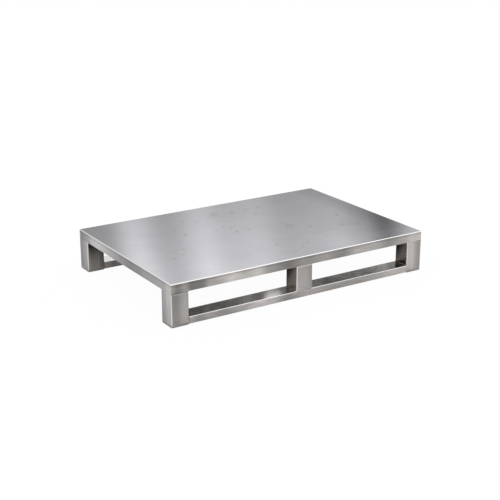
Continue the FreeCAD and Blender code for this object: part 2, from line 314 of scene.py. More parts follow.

# %% [markdown]
# ## Painted reflections along the narrow faces
#
# Narrow upright faces carry soft light and dark bands, which are painted reflections. Each list
# below gives a place in metres and how light the metal is there. The aprons, the rails and the legs
# each have their own list. The front rail's top has two more: one for its painted shade, and one for
# the matt patches where forks have scraped over it. Both run slantwise across the rail.

# %% Bands
# Painted reflections: light and dark bands on the narrow upright faces.
APRON_REFLECTIONS_LENGTHWISE = (
    (-0.60, 0.45), (-0.57, 0.15), (-0.54, 0.40), (-0.51, 0.10), (-0.47, 0.15), (-0.43, 0.50),
    (-0.33, 0.85), (-0.27, 0.70), (-0.22, 0.85), (-0.16, 0.40), (-0.08, 0.15), (0.00, 0.35),
    (0.10, 0.45), (0.19, 0.25), (0.26, 0.60), (0.34, 0.60), (0.43, 0.30), (0.50, 0.50), (0.55, 0.80),
)
APRON_REFLECTIONS_CROSSWISE = (
    (-0.40, 0.85), (-0.37, 0.80), (-0.35, 0.55), (-0.20, 0.45), (-0.14, 0.30), (-0.07, 0.20),
    (0.00, 0.30), (0.08, 0.50), (0.16, 0.70), (0.22, 0.85), (0.27, 0.75), (0.31, 0.40), (0.35, 0.25),
    (0.38, 0.10), (0.40, 0.65),
)
LEG_REFLECTIONS_LENGTHWISE = (
    (-0.60, 0.10), (-0.58, 0.05), (-0.54, 0.40), (-0.04, 0.45), (0.00, 0.40), (0.04, 0.20),
    (0.52, 0.70), (0.55, 0.80), (0.58, 0.30),
)
LEG_REFLECTIONS_CROSSWISE = (
    (-0.40, 0.80), (-0.38, 1.00), (-0.35, 0.60), (-0.32, 0.20), (0.32, 0.65), (0.35, 0.30), (0.38, 0.05),
    (0.40, 0.20),
)
RAIL_REFLECTIONS_LENGTHWISE = (
    (-0.52, 0.40), (-0.48, 0.15), (-0.43, 0.35), (-0.36, 0.20), (-0.28, 0.45), (-0.20, 0.85),
    (-0.16, 0.70), (-0.08, 0.10), (0.02, 0.45), (0.12, 0.30), (0.28, 0.30), (0.36, 0.45), (0.44, 0.65),
    (0.52, 0.55),
)
# Painted shade on the front rail's top, in slantwise bands.
RAIL_TOP_PAINTED_SHADE = (
    (-0.52, 0.30), (-0.46, 0.40), (-0.42, 0.80), (-0.30, 0.75), (-0.26, 1.00), (-0.04, 1.00),
    (0.04, 0.80), (0.10, 0.95), (0.14, 0.60), (0.20, 0.40), (0.27, 0.40), (0.30, 0.70), (0.34, 0.55),
    (0.43, 0.65), (0.47, 0.35),
)
RAIL_SCUFFS = (
    (-0.28, 0.00), (-0.25, 0.15), (-0.19, 0.00), (-0.14, 0.75), (-0.11, 0.70), (-0.06, 0.00),
    (0.03, 0.00), (0.05, 0.30), (0.12, 0.00), (0.35, 0.00), (0.42, 0.15), (0.47, 0.00),
)
SLANT = 0.64
RAIL_LOW, RAIL_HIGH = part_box("bottom_rail_front")
RAIL_MIDDLE = (RAIL_LOW[1] + RAIL_HIGH[1]) / 2
BAND_DARK, BAND_LIGHT = 0.52, 2.50
TOP_STARTS, TOP_FULL = 0.80, 0.95
SCUFF_ROUGHNESS = 0.6


def band_nodes(tree, place_part, half, bands):
    """A ramp over one axis, from bands that are given in metres."""
    spot = add(tree, "ShaderNodeMapRange", {"Value": place_part, "From Min": -half, "From Max": half})
    ramp = add(tree, "ShaderNodeValToRGB", {"Fac": spot})
    set_stops(ramp, [((at + half) / (2 * half), level) for at, level in bands])
    return ramp


def paint_reflection_bands(tree, at, colour, lengthwise, crosswise, share):
    """Darkens and lightens the colour of upright faces by their bands of painted reflection."""
    on_long_face = add(tree, "ShaderNodeMath", {
        0: at.facing["Y"], 1: LOOKS_ALONG}, operation="GREATER_THAN")
    along = band_nodes(tree, at.spot["X"], HALF_LENGTH, lengthwise)
    across = band_nodes(tree, at.spot["Y"], HALF_WIDTH, crosswise)
    band = add(tree, "ShaderNodeMix", {0: on_long_face, 2: across, 3: along})
    shade = add(tree, "ShaderNodeMapRange", {
        "Value": band, "To Min": 1 + share * (BAND_DARK - 1),
        "To Max": 1 + share * (BAND_LIGHT - 1)})
    return add(tree, "ShaderNodeVectorMath", {0: colour, "Scale": shade}, operation="SCALE")


def slantwise(tree, at):
    """The place along the front rail, taken slantwise across it, the way forks scrape over it."""
    inward = add(tree, "ShaderNodeMath", {0: at.spot["Y"], 1: RAIL_MIDDLE}, operation="SUBTRACT")
    return add(tree, "ShaderNodeMath", {
        0: inward, 1: -SLANT, 2: at.spot["X"]}, operation="MULTIPLY_ADD")


def front_rail_top(tree, at):
    """One on the top face of the front rail, and nought elsewhere."""
    front = add(tree, "ShaderNodeMath", {0: at.spot["Y"], 1: 0.0}, operation="LESS_THAN")
    up = add(tree, "ShaderNodeMapRange", {
        "Value": at.upward, "From Min": TOP_STARTS, "From Max": TOP_FULL})
    return add(tree, "ShaderNodeMath", {0: up, 1: front}, operation="MULTIPLY")


def rail_top_painted_shade(tree, at, colour):
    """Paints shade onto the top face of the front rail, by its own bands."""
    band = band_nodes(tree, slantwise(tree, at), HALF_LENGTH, RAIL_TOP_PAINTED_SHADE)
    shade = add(tree, "ShaderNodeMix", {0: front_rail_top(tree, at), 2: 1.0, 3: band})
    return add(tree, "ShaderNodeVectorMath", {0: colour, "Scale": shade}, operation="SCALE")


def rail_scuffs(tree, at, rough):
    """Roughens the front rail's top where forks have scraped it matt, so that it catches the light."""
    band = band_nodes(tree, slantwise(tree, at), HALF_LENGTH, RAIL_SCUFFS)
    matt = add(tree, "ShaderNodeMath", {0: band, 1: front_rail_top(tree, at)}, operation="MULTIPLY")
    return add(tree, "ShaderNodeMath", {
        0: matt, 1: SCUFF_ROUGHNESS, 2: rough}, operation="MULTIPLY_ADD")


print("band stops:", len(APRON_REFLECTIONS_LENGTHWISE), "along an apron and", len(RAIL_REFLECTIONS_LENGTHWISE), "along a rail")

# %% [markdown]
# ## The finish of brushed steel
#
# The metal is painted cool and light on the open deck and warmer and darker on upright faces,
# warmest on the long ones: painted light and shade by the way a face looks. Clouds, streaks and
# short dashes lighten or darken it a little, and they show more on upright faces. Folds and corners
# get painted highlights. The surface normal finds them: it is square to an axis on every flat face,
# and leans on every rounded one.

# %% Brushed steel
CLOUD_SIZE_MM = 160.0
DASH_WIDTH_MM = 4.0
DASH_LENGTH_MM = 60.0
TURN_STARTS, TURN_FULL = 0.55, 0.95
NOISE_LOW, NOISE_HIGH = 0.3, 0.7
CLOUD_STARTS, CLOUD_FULL = 0.35, 0.7
CLOUD_LIGHT, CLOUD_DARK = 1.02, 0.97
STREAK_SWING = 0.10
DASH_SWING = 0.20
UPRIGHT_STARTS, UPRIGHT_FULL = 0.9, 0.5
UPRIGHT_GAIN = 3.6
# Painted highlights on rounded edges and folds: from these leans on, the colour goes toward a light
# grey.
EDGE_STARTS, EDGE_FULL = 0.995, 0.85
UNDER_FULL, UNDER_STARTS = -0.35, -0.10
FOLD_STARTS, FOLD_FULL = 0.1, 0.4
EDGE_HIGHLIGHT_GREY = "E8E6E4"
ROUGHNESS_SWING = 0.02
SCRATCH_SHARE, SCRATCH_DEPTH = 0.10, 0.0003


def tones_with_painted_light(tree, at, tones, bands):
    """The steel's colour by the way it faces, painted light and shade. tones has one for the long,
    short, top and under faces.
    """
    on_long_face = add(tree, "ShaderNodeMath", {
        0: at.facing["Y"], 1: at.facing["X"]}, operation="GREATER_THAN")
    colour = add(tree, "ShaderNodeMix", {
        0: on_long_face, 6: linear(tones["short"]), 7: linear(tones["long"])}, data_type="RGBA")
    if bands:
        colour = paint_reflection_bands(tree, at, colour, *bands)
    back = add(tree, "ShaderNodeMapRange", {
        "Value": at.spot["Y"], "From Min": -HALF_WIDTH, "From Max": HALF_WIDTH})
    top = add(tree, "ShaderNodeMix", {
        0: back, 6: linear(tones["top"]), 7: linear(tones.get("back", tones["top"]))},
        data_type="RGBA")
    up = add(tree, "ShaderNodeMapRange", {
        "Value": at.upward, "From Min": TURN_STARTS, "From Max": TURN_FULL})
    down = add(tree, "ShaderNodeMapRange", {
        "Value": at.upward, "From Min": -TURN_STARTS, "From Max": -TURN_FULL})
    colour = add(tree, "ShaderNodeMix", {0: up, 6: colour, 7: top}, data_type="RGBA")
    return add(tree, "ShaderNodeMix", {0: down, 6: colour, 7: linear(tones["under"])}, data_type="RGBA")


def wear_nodes(tree, at, colour, streaks, grain, contrast):
    """Soft clouds, long streaks and short dashes, which all lighten or darken the colour a little."""
    clouds = add(tree, "ShaderNodeTexNoise", {
        "Vector": at.place, "Scale": 1000 / CLOUD_SIZE_MM, "Detail": 3.0})
    shade = add(tree, "ShaderNodeMapRange", {
        "Value": clouds, "From Min": CLOUD_STARTS, "From Max": CLOUD_FULL, "To Min": CLOUD_LIGHT,
        "To Max": CLOUD_DARK})
    streak = STREAK_SWING * contrast
    scratch = add(tree, "ShaderNodeMapRange", {
        "Value": streaks, "From Min": NOISE_LOW, "From Max": NOISE_HIGH, "To Min": 1 - streak,
        "To Max": 1 + streak})
    shade = add(tree, "ShaderNodeMath", {0: shade, 1: scratch}, operation="MULTIPLY")
    along, across = 1000 / DASH_LENGTH_MM, 1000 / DASH_WIDTH_MM
    size = (across, across, along) if grain == UPRIGHT else (along, across, across)
    drawn = add(tree, "ShaderNodeVectorMath", {0: at.place, 1: size}, operation="MULTIPLY")
    dashes = add(tree, "ShaderNodeTexNoise", {"Vector": drawn, "Scale": 1.0, "Detail": 3.0})
    widest = DASH_SWING * contrast
    swing = add(tree, "ShaderNodeMapRange", {
        "Value": dashes, "From Min": NOISE_LOW, "From Max": NOISE_HIGH, "To Min": -widest,
        "To Max": widest})
    gain = add(tree, "ShaderNodeMapRange", {
        "Value": at.facing["Z"], "From Min": UPRIGHT_STARTS, "From Max": UPRIGHT_FULL,
        "To Min": 1.0, "To Max": UPRIGHT_GAIN})
    dash = add(tree, "ShaderNodeMath", {0: swing, 1: gain, 2: 1.0}, operation="MULTIPLY_ADD")
    shade = add(tree, "ShaderNodeMath", {0: shade, 1: dash}, operation="MULTIPLY")
    return add(tree, "ShaderNodeVectorMath", {0: colour, "Scale": shade}, operation="SCALE")


def painted_edge_highlights(tree, at, colour, grain, share):
    """Paints highlights on rounded metal, but not where it turns under, nor at the upright corners of
    the tray.
    """
    flat = add(tree, "ShaderNodeMath", {0: at.facing["X"], 1: at.facing["Y"]}, operation="MAXIMUM")
    flat = add(tree, "ShaderNodeMath", {0: flat, 1: at.facing["Z"]}, operation="MAXIMUM")
    edge = add(tree, "ShaderNodeMapRange", {
        "Value": flat, "From Min": EDGE_STARTS, "From Max": EDGE_FULL, "To Max": share})
    not_under = add(tree, "ShaderNodeMapRange", {
        "Value": at.upward, "From Min": UNDER_FULL, "From Max": UNDER_STARTS})
    edge = add(tree, "ShaderNodeMath", {0: edge, 1: not_under}, operation="MULTIPLY")
    if grain == OVER_THE_FOLDS:
        fold = add(tree, "ShaderNodeMapRange", {
            "Value": at.facing["Z"], "From Min": FOLD_STARTS, "From Max": FOLD_FULL})
        edge = add(tree, "ShaderNodeMath", {0: edge, 1: fold}, operation="MULTIPLY")
    return add(tree, "ShaderNodeMix", {0: edge, 6: colour, 7: linear(EDGE_HIGHLIGHT_GREY)}, data_type="RGBA")


def brushed_steel(name, tones, grain, roughness, anisotropy, bands=None, highlight_share=0.5, contrast=0.5,
                  extras=(), scuffs=None):
    """A brushed stainless finish, from its tones, its grain and what the extras draw on it."""
    steel = bpy.data.materials.new(name)
    steel.use_nodes = True
    tree = steel.node_tree
    tree.nodes.clear()
    at = survey(tree)
    streaks, tangent = grain_nodes(tree, at, grain)
    colour = tones_with_painted_light(tree, at, tones, bands)
    colour = wear_nodes(tree, at, colour, streaks, grain, contrast)
    colour = painted_edge_highlights(tree, at, colour, grain, highlight_share)
    for extra in extras:
        colour = extra(tree, at, colour)
    rough = add(tree, "ShaderNodeMapRange", {
        "Value": streaks, "From Min": NOISE_LOW, "From Max": NOISE_HIGH,
        "To Min": roughness - ROUGHNESS_SWING, "To Max": roughness + ROUGHNESS_SWING})
    if scuffs:
        rough = scuffs(tree, at, rough)
    bump = add(tree, "ShaderNodeBump", {
        "Height": streaks, "Strength": SCRATCH_SHARE, "Distance": SCRATCH_DEPTH})
    shader = add(tree, "ShaderNodeBsdfPrincipled", {
        "Base Color": colour, "Metallic": 1.0, "Roughness": rough, "Anisotropic": anisotropy,
        "Tangent": tangent, "Normal": bump})
    add(tree, "ShaderNodeOutputMaterial", {"Surface": shader})
    return steel


print("dashes per metre across the grain:", round(1000 / DASH_WIDTH_MM))

# %% [markdown]
# ## Marks of use on the deck
#
# A deck that is loaded and wiped down every day carries dull blotches, specks and one ring where a
# wet drum stood. They darken the metal a little and have no depth. A cloth that goes slantwise over
# the deck draws each of them out that way. Each mark is a soft disc in a plane that is squeezed
# along the cloth's path, and a small noise frays its outline. The list gives each mark's place along
# and across the deck, its radius and its strength. Apart from the marks, a painted reflection
# lightens the front edge a little right of the middle, and painted shade darkens the right end.

# %% Deck marks
MARKS_MM = (
    (-15, 275, 18, 0.18), (65, 250, 8, 0.26), (140, 260, 8, 0.20), (210, 265, 6, 0.24),
    (-10, 150, 4, 0.35), (-55, 15, 6, 0.24), (10, 50, 5, 0.32), (0, 10, 6, 0.30),
    (-70, 100, 4, 0.32), (-180, 260, 6, 0.25), (-260, 90, 8, 0.20), (-330, 10, 5, 0.20),
    (-360, -70, 4, 0.26), (-450, -150, 6, 0.16), (10, 225, 4, 0.30), (-10, -220, 7, 0.17),
    (60, -300, 5, 0.24), (440, -20, 7, 0.26), (510, -20, 6, 0.24), (440, -180, 6, 0.28),
    (370, -150, 6, 0.24), (480, 230, 6, 0.26), (310, 70, 4, 0.28), (-50, 75, 4, 0.26),
    (-125, 65, 4, 0.30), (145, 180, 5, 0.26), (245, -90, 5, 0.26), (5, -330, 4, 0.26),
    (-45, -310, 4, 0.26), (105, -270, 5, 0.28), (-130, 220, 8, 0.16), (-105, -95, 6, 0.16),
    (-390, -120, 4, 0.20),
)
RING_MM = (175, -40, 11, 0.20)
RING_LINE_MM = 3.2
MARK_EDGE, MARK_CORE = 1.4, 0.4
MARK_STRENGTH = 0.95
MARK_GREY = "484852"
FRAYS_PER_METRE = 90.0
FRAY = 0.012
FRAY_SHIFT = Vector((FRAY / 2, FRAY / 2, 0))
SQUEEZE = 0.45
ACROSS_THE_CLOTH = Vector((0.84, -0.54, 0.0))
ALONG_THE_CLOTH = Vector((0.54, 0.84, 0.0)) * SQUEEZE
# Painted reflection along the deck's front edge, and painted shade at its right end.
FRONT_LIGHT_BACK, FRONT_LIGHT_FRONT = -0.16, -0.38
FRONT_LIGHT_GAIN = 0.22
FRONT_LIGHT_BANDS = ((-0.6, 0), (0.1, 0), (0.28, 1), (0.4, 1), (0.5, 0))
RIGHT_END_STARTS, RIGHT_END_FULL = 0.47, 0.56
RIGHT_END_SHADE = 0.78


def deck_marks(tree, at, colour):
    """Darkens the deck at its marks and on its ring."""
    fray = add(tree, "ShaderNodeTexNoise", {
        "Vector": at.place, "Scale": FRAYS_PER_METRE, "Detail": 2.0})
    fray = add(tree, "ShaderNodeVectorMath", {
        0: fray.outputs["Color"], "Scale": FRAY}, operation="SCALE")
    frayed = add(tree, "ShaderNodeVectorMath", {0: at.place, 1: fray}, operation="ADD")
    across = add(tree, "ShaderNodeVectorMath", {
        0: frayed, 1: ACROSS_THE_CLOTH}, operation="DOT_PRODUCT")
    along = add(tree, "ShaderNodeVectorMath", {0: frayed, 1: ALONG_THE_CLOTH}, operation="DOT_PRODUCT")
    squeezed = add(tree, "ShaderNodeCombineXYZ", {
        0: across.outputs["Value"], 1: along.outputs["Value"]})
    total = None
    for x, y, radius, strength in MARKS_MM + (RING_MM,):
        spot = Vector((x, y, 0)) / 1000 + FRAY_SHIFT
        centre = (spot.dot(ACROSS_THE_CLOTH), spot.dot(ALONG_THE_CLOTH), 0)
        away = add(tree, "ShaderNodeVectorMath", {0: squeezed, 1: centre}, operation="DISTANCE")
        away = away.outputs["Value"]
        if (x, y, radius, strength) == RING_MM:
            away = add(tree, "ShaderNodeMath", {0: away, 1: radius / 1000}, operation="SUBTRACT")
            away = add(tree, "ShaderNodeMath", {0: away}, operation="ABSOLUTE")
            radius = RING_LINE_MM
        mark = add(tree, "ShaderNodeMapRange", {
            "Value": away, "From Min": MARK_EDGE * radius / 1000,
            "From Max": MARK_CORE * radius / 1000, "To Max": MARK_STRENGTH * strength})
        if total is not None:
            mark = add(tree, "ShaderNodeMath", {0: total, 1: mark}, operation="MAXIMUM")
        total = mark
    on_deck = add(tree, "ShaderNodeMath", {0: at.upward, 1: LOOKS_UP}, operation="GREATER_THAN")
    total = add(tree, "ShaderNodeMath", {0: total, 1: on_deck}, operation="MULTIPLY")
    return add(tree, "ShaderNodeMix", {0: total, 6: colour, 7: linear(MARK_GREY)}, data_type="RGBA")


def deck_painted_reflection(tree, at, colour):
    """Paints reflected light onto part of the deck's front edge, and paints shade onto the right end."""
    front = add(tree, "ShaderNodeMapRange", {
        "Value": at.spot["Y"], "From Min": FRONT_LIGHT_BACK, "From Max": FRONT_LIGHT_FRONT,
        "To Max": FRONT_LIGHT_GAIN})
    bands = band_nodes(tree, at.spot["X"], HALF_LENGTH, FRONT_LIGHT_BANDS)
    painted_light_gain = add(tree, "ShaderNodeMath", {0: front, 1: bands}, operation="MULTIPLY")
    end = add(tree, "ShaderNodeMapRange", {
        "Value": at.spot["X"], "From Min": RIGHT_END_STARTS, "From Max": RIGHT_END_FULL, "To Min": 1.0,
        "To Max": RIGHT_END_SHADE})
    shade = add(tree, "ShaderNodeMath", {0: painted_light_gain, 1: end}, operation="ADD")
    on_deck = add(tree, "ShaderNodeMath", {0: at.upward, 1: LOOKS_UP}, operation="GREATER_THAN")
    shade = add(tree, "ShaderNodeMix", {0: on_deck, 2: 1.0, 3: shade})
    return add(tree, "ShaderNodeVectorMath", {0: colour, "Scale": shade}, operation="SCALE")


print("marks on the deck:", len(MARKS_MM) + 1)

# %% [markdown]
# ## Legs in and out of the light
# The faces of a leg that look into the fork windows lie in the deck's shade, which is painted into
# their colour as a dark brown grey, darkest high up under the deck and deep inside. They are darker
# on the right half, and the ones that look across the deck are also darker near the floor and along
# their inner edge. On the long sides the outer faces are painted a little lighter toward the floor,
# a painted reflection of the floor, less so on the right.

# %% Window faces in painted shade, outer faces with painted floor light
APRON_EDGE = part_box("leg_front_left")[1][2]
FOOT_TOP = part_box("leg_front_left")[0][2]
LEG_SIZE = HALF_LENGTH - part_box("bottom_rail_front")[1][0]
# Painted shade on the window faces, and painted floor light on the long outer faces.
SKIN_STARTS, SKIN_FULL = -0.005, -0.007
LONG_FACE_OUTWARD = 0.33
NEAR_FLOOR = 0.030
UP_HIGH, DOWN_LOW = -0.70, 0.20
REACH_LEAST, REACH_MOST = -0.30, 0.50
DARKEST_WINDOW_SHADE, LIGHTEST_WINDOW_SHADE = 0.10, 1.30
LOW_STARTS, LOW_FULL = 0.10, 0.05
LOW_LIGHT, LOW_DARK = 1.05, 0.74
RIM_STARTS, RIM_FULL = -0.050, -0.066
RIM_DARK = 0.6
RUBS_SCALE = (160, 160, 7)
RUBS_DARK, RUBS_LIGHT = 0.84, 1.16
RIGHT_STARTS, RIGHT_FULL = 0.1, 0.5
RIGHT_DARK = 0.74
# The colours of the painted shade on the window faces.
WINDOW_SHADE_SHORT, WINDOW_SHADE_LONG = "A79D93", "A29D97"
FLOOR_LIGHT_TO = 0.035
FLOOR_LIGHT = 0.36
LESS_STARTS, LESS_FULL = 0.1, 0.4
RIGHT_FLOOR_LIGHT = 0.25


def leg_painted_shade_and_light(tree, at, colour):
    """Paints shade in a brown grey onto the window faces, and painted floor light onto the long outer
    faces.
    """
    from_x = add(tree, "ShaderNodeMath", {0: at.spot["X"]}, operation="ABSOLUTE")
    from_x = add(tree, "ShaderNodeMath", {0: from_x, 1: HALF_LENGTH}, operation="SUBTRACT")
    from_y = add(tree, "ShaderNodeMath", {0: at.spot["Y"]}, operation="ABSOLUTE")
    from_y = add(tree, "ShaderNodeMath", {0: from_y, 1: HALF_WIDTH}, operation="SUBTRACT")
    skin = add(tree, "ShaderNodeMath", {0: from_x, 1: from_y}, operation="MAXIMUM")
    inner = add(tree, "ShaderNodeMapRange", {
        "Value": skin, "From Min": SKIN_STARTS, "From Max": SKIN_FULL})
    outward = add(tree, "ShaderNodeMapRange", {"Value": from_y, "From Min": -LEG_SIZE, "From Max": 0.0})
    on_long_face = add(tree, "ShaderNodeMath", {
        0: at.facing["Y"], 1: LOOKS_ALONG}, operation="GREATER_THAN")
    outward = add(tree, "ShaderNodeMix", {0: on_long_face, 2: outward, 3: LONG_FACE_OUTWARD})
    down = add(tree, "ShaderNodeMapRange", {
        "Value": at.spot["Z"], "From Min": APRON_EDGE, "From Max": NEAR_FLOOR, "To Min": UP_HIGH,
        "To Max": DOWN_LOW})
    reach = add(tree, "ShaderNodeMath", {0: outward, 1: down}, operation="ADD")
    window_shade_level = add(tree, "ShaderNodeMapRange", {
        "Value": reach, "From Min": REACH_LEAST, "From Max": REACH_MOST, "To Min": DARKEST_WINDOW_SHADE,
        "To Max": LIGHTEST_WINDOW_SHADE}, interpolation_type="SMOOTHSTEP")
    low = add(tree, "ShaderNodeMapRange", {
        "Value": at.spot["Z"], "From Min": LOW_STARTS, "From Max": LOW_FULL, "To Min": LOW_LIGHT,
        "To Max": LOW_DARK})
    rim = add(tree, "ShaderNodeMapRange", {
        "Value": from_x, "From Min": RIM_STARTS, "From Max": RIM_FULL, "To Min": 1.0,
        "To Max": RIM_DARK})
    across_way = add(tree, "ShaderNodeMath", {0: low, 1: rim}, operation="MULTIPLY")
    across_way = add(tree, "ShaderNodeMix", {0: on_long_face, 2: 1.0, 3: across_way})
    upright = add(tree, "ShaderNodeVectorMath", {0: at.place, 1: RUBS_SCALE}, operation="MULTIPLY")
    rubs = add(tree, "ShaderNodeTexNoise", {"Vector": upright, "Scale": 1.0, "Detail": 2.0})
    rubs = add(tree, "ShaderNodeMapRange", {
        "Value": rubs, "From Min": NOISE_LOW, "From Max": NOISE_HIGH, "To Min": RUBS_DARK,
        "To Max": RUBS_LIGHT})
    right = add(tree, "ShaderNodeMapRange", {
        "Value": at.spot["X"], "From Min": RIGHT_STARTS, "From Max": RIGHT_FULL, "To Min": 1.0,
        "To Max": RIGHT_DARK})
    window_shade_level = add(tree, "ShaderNodeMath", {0: window_shade_level, 1: right}, operation="MULTIPLY")
    window_shade_level = add(tree, "ShaderNodeMath", {0: window_shade_level, 1: across_way}, operation="MULTIPLY")
    window_shade_level = add(tree, "ShaderNodeMath", {0: window_shade_level, 1: rubs}, operation="MULTIPLY")
    window_shade = add(tree, "ShaderNodeMix", {
        0: on_long_face, 6: linear(WINDOW_SHADE_SHORT), 7: linear(WINDOW_SHADE_LONG)}, data_type="RGBA")
    window_shade = add(tree, "ShaderNodeVectorMath", {0: window_shade, "Scale": window_shade_level}, operation="SCALE")
    painted_light_gain = add(tree, "ShaderNodeMapRange", {
        "Value": at.spot["Z"], "From Min": APRON_EDGE, "From Max": FLOOR_LIGHT_TO,
        "To Max": FLOOR_LIGHT})
    side = add(tree, "ShaderNodeMapRange", {
        "Value": at.spot["X"], "From Min": LESS_STARTS, "From Max": LESS_FULL, "To Min": 1.0,
        "To Max": RIGHT_FLOOR_LIGHT})
    painted_light_gain = add(tree, "ShaderNodeMath", {0: painted_light_gain, 1: side}, operation="MULTIPLY")
    painted_light_gain = add(tree, "ShaderNodeMath", {0: painted_light_gain, 1: on_long_face, 2: 1.0}, operation="MULTIPLY_ADD")
    colour = add(tree, "ShaderNodeVectorMath", {0: colour, "Scale": painted_light_gain}, operation="SCALE")
    return add(tree, "ShaderNodeMix", {0: inner, 6: colour, 7: window_shade}, data_type="RGBA")


leg_measures = (APRON_EDGE, FOOT_TOP, LEG_SIZE)
print("apron edge, foot top and leg size in metres:", [round(size, 4) for size in leg_measures])

# %% [markdown]
# ## Dressed seams
#
# Where the legs meet the apron and the foot plates, the welds are ground flush with the outside.
# What is left to see is a hairline: dark under the long aprons, where the leg's upright grain meets
# the apron's lengthwise grain, and a light, speckled band with a dark edge above the foot plate.
# On the short faces both grains are upright, so the brushed-over joint can't be seen. The tray has
# no seam, but a line of painted shade runs along each apron right under the fold. The dark line is
# fainter on the right, and the middle legs have a light one in its place. Each line below has its
# height over the edge that it belongs to, half its width, its colour and its strength.

# %% Seams
DECK_TOP = CAD_BOX[1][2]
APRON_DARK_LINE = (-0.0010, 0.0026, "3C3A37", 0.60)
APRON_LIGHT_LINE = (-0.0050, 0.0030, "C9C7C3", 0.35)
MIDDLE_LEG_LINE = (-0.0015, 0.0030, "DEDCD8", 0.60)
FOOT_LIGHT_LINE = (0.0035, 0.0030, "C8C6C2", 0.45)
FOOT_DARK_LINE = (0.0, 0.0022, "45433F", 0.22)
# A painted shade line just under the fold.
FOLD_SHADE_LINE = (-0.0078, 0.0040, "55524F", 0.30)
FULL_WITHIN = 0.5
FACES_SIDEWAYS = 0.6
BESIDE_MIDDLE = 0.3
FAINTER_FROM, FAINTER_TO = -0.1, 0.1
FAINTEST = 0.3
SPECKLES_PER_METRE = 240.0
SPECKLE_STARTS, SPECKLE_FULL = 0.4, 0.6


def seam(tree, at, colour, edge, line, where=None):
    """Draws a level line near an edge's height, on the faces that where picks."""
    rise, half_width, shade, strength = line
    away = add(tree, "ShaderNodeMath", {0: at.spot["Z"], 1: edge + rise}, operation="SUBTRACT")
    away = add(tree, "ShaderNodeMath", {0: away}, operation="ABSOLUTE")
    drawn = add(tree, "ShaderNodeMapRange", {
        "Value": away, "From Min": half_width, "From Max": half_width * FULL_WITHIN, "To Max": strength})
    if where is not None:
        drawn = add(tree, "ShaderNodeMath", {0: drawn, 1: where}, operation="MULTIPLY")
    return add(tree, "ShaderNodeMix", {0: drawn, 6: colour, 7: linear(shade)}, data_type="RGBA")


def leg_seams(tree, at, colour):
    """The hairlines under a long apron and the dressed weld above a foot plate."""
    long_face = add(tree, "ShaderNodeMath", {
        0: at.facing["Y"], 1: FACES_SIDEWAYS}, operation="GREATER_THAN")
    off_middle = add(tree, "ShaderNodeMath", {0: at.spot["X"]}, operation="ABSOLUTE")
    corner = add(tree, "ShaderNodeMath", {0: off_middle, 1: BESIDE_MIDDLE}, operation="GREATER_THAN")
    under_apron = add(tree, "ShaderNodeMath", {0: long_face, 1: corner}, operation="MULTIPLY")
    fainter = add(tree, "ShaderNodeMapRange", {
        "Value": at.spot["X"], "From Min": FAINTER_FROM, "From Max": FAINTER_TO, "To Min": 1.0,
        "To Max": FAINTEST})
    under_apron = add(tree, "ShaderNodeMath", {0: under_apron, 1: fainter}, operation="MULTIPLY")
    at_middle = add(tree, "ShaderNodeMath", {
        0: long_face, 1: corner}, operation="SUBTRACT", use_clamp=True)
    speckle = add(tree, "ShaderNodeTexNoise", {
        "Vector": at.place, "Scale": SPECKLES_PER_METRE, "Detail": 2.0})
    speckle = add(tree, "ShaderNodeMapRange", {
        "Value": speckle, "From Min": SPECKLE_STARTS, "From Max": SPECKLE_FULL})
    colour = seam(tree, at, colour, APRON_EDGE, APRON_DARK_LINE, under_apron)
    colour = seam(tree, at, colour, APRON_EDGE, APRON_LIGHT_LINE, under_apron)
    colour = seam(tree, at, colour, APRON_EDGE, MIDDLE_LEG_LINE, at_middle)
    colour = seam(tree, at, colour, FOOT_TOP, FOOT_LIGHT_LINE, speckle)
    return seam(tree, at, colour, FOOT_TOP, FOOT_DARK_LINE)


def fold_shade_line(tree, at, colour):
    """A line of painted shade just under the tray's folds."""
    return seam(tree, at, colour, DECK_TOP, FOLD_SHADE_LINE)


seam_heights = (APRON_EDGE, FOOT_TOP, DECK_TOP + FOLD_SHADE_LINE[0])
print("seams at heights in metres:", [round(height, 4) for height in seam_heights])

# %% [markdown]
# ## The finishes
#
# Tray, legs, rails and feet share one recipe and differ in tone, grain and gloss. The sheet has the
# finest polish, the tubes are a little duller and the feet duller still. Light and shade are painted
# into the tones: the deck's top is painted light, its back and its aprons darker and its underside
# lighter, and the top of a rail is painted the lightest of all. What is hidden under the deck is
# plain cold-rolled sheet, in one grey.

# %% Finishes on the solids
# Painted light and shade in the sheet's tones: light top, darker back and aprons, lighter underside. The
# rail's top tone is painted light.
SHEET_TONES_PAINTED_LIGHT = {"long": "888481", "short": "858282", "top": "C3C2C6", "back": "A1A0A4", "under": "D4D0CF"}
LEG_TONES = {"long": "928E8B", "short": "918E8E", "top": "928E8B", "under": "928E8B"}
RAIL_TONES_PAINTED_TOP = {"long": "A9A4A1", "short": "A9A4A1", "top": "FAF8F6", "under": "A9A4A1"}
FOOT_TONES = {"long": "9E9A98", "short": "9B9897", "top": "9E9A98", "under": "9E9A98"}
HIDDEN_TONES = dict.fromkeys(("long", "short", "top", "under"), "B4B0AF")

